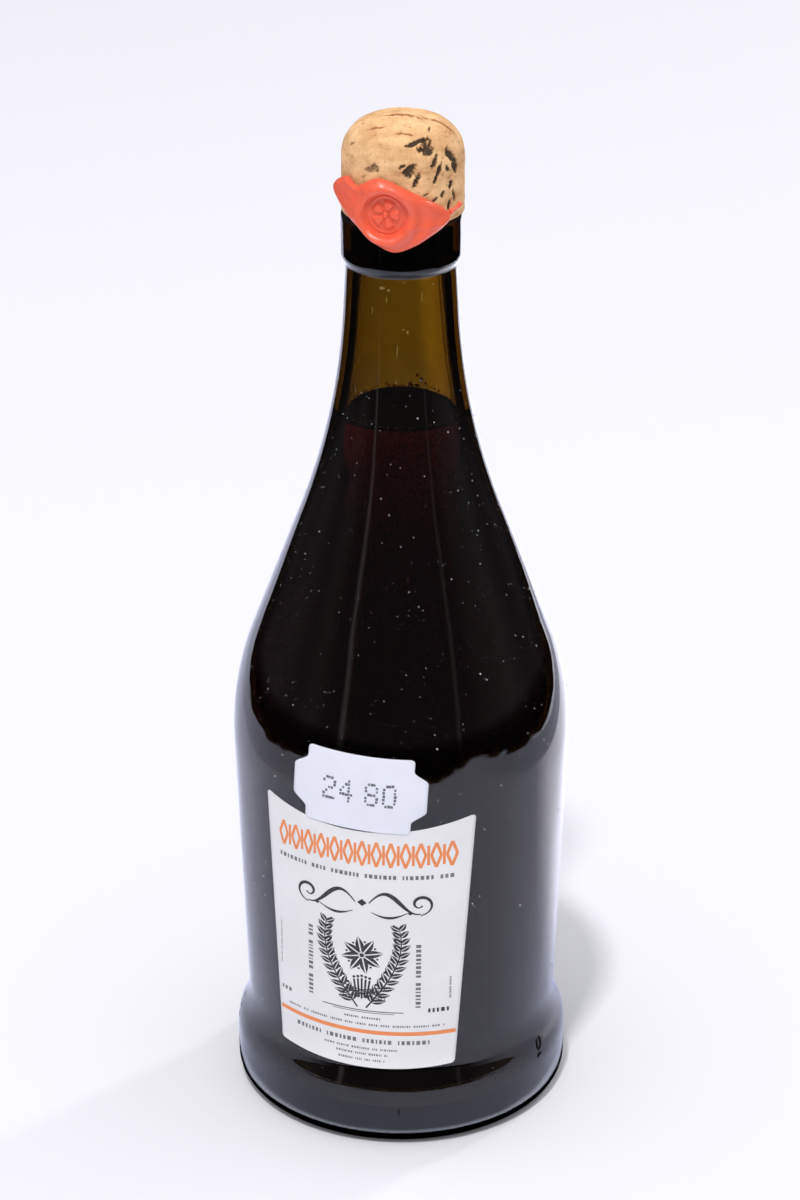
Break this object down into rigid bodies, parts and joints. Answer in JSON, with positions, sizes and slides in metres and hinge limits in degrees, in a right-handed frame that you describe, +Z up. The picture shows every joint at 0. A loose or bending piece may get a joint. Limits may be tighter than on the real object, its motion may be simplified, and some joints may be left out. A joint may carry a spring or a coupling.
{
  "type": "corked vinegar bottle",
  "caption": "Dark green glass bottle with a flared foot and long neck, filled with red vinegar, with a cork stopper, a wax seal, a paper label and a price sticker.",
  "frame": {"origin": "centre of the underside of the foot, on the surface that the bottle stands on", "axes": "+Z up along the bottle's axis; the label faces -Y, turned a little towards -X"},
  "size_m": [0.0788, 0.0789, 0.2393],
  "materials": {
    "bottle_glass": "smooth, glossy dark olive glass",
    "vinegar": "dark red liquid",
    "cork": "dry natural cork with dark pits",
    "sealing_wax": "satin coral red wax",
    "label_paper": "coated white paper with printed shapes",
    "sticker_paper": "matt bluish white paper"
  },
  "bodies": {
    "root": {"bottle": "bottle_glass", "vinegar": "vinegar", "cork": "cork", "wax_seal": "sealing_wax", "label": "label_paper", "price_sticker": "sticker_paper"}
  },
  "joints": []
}
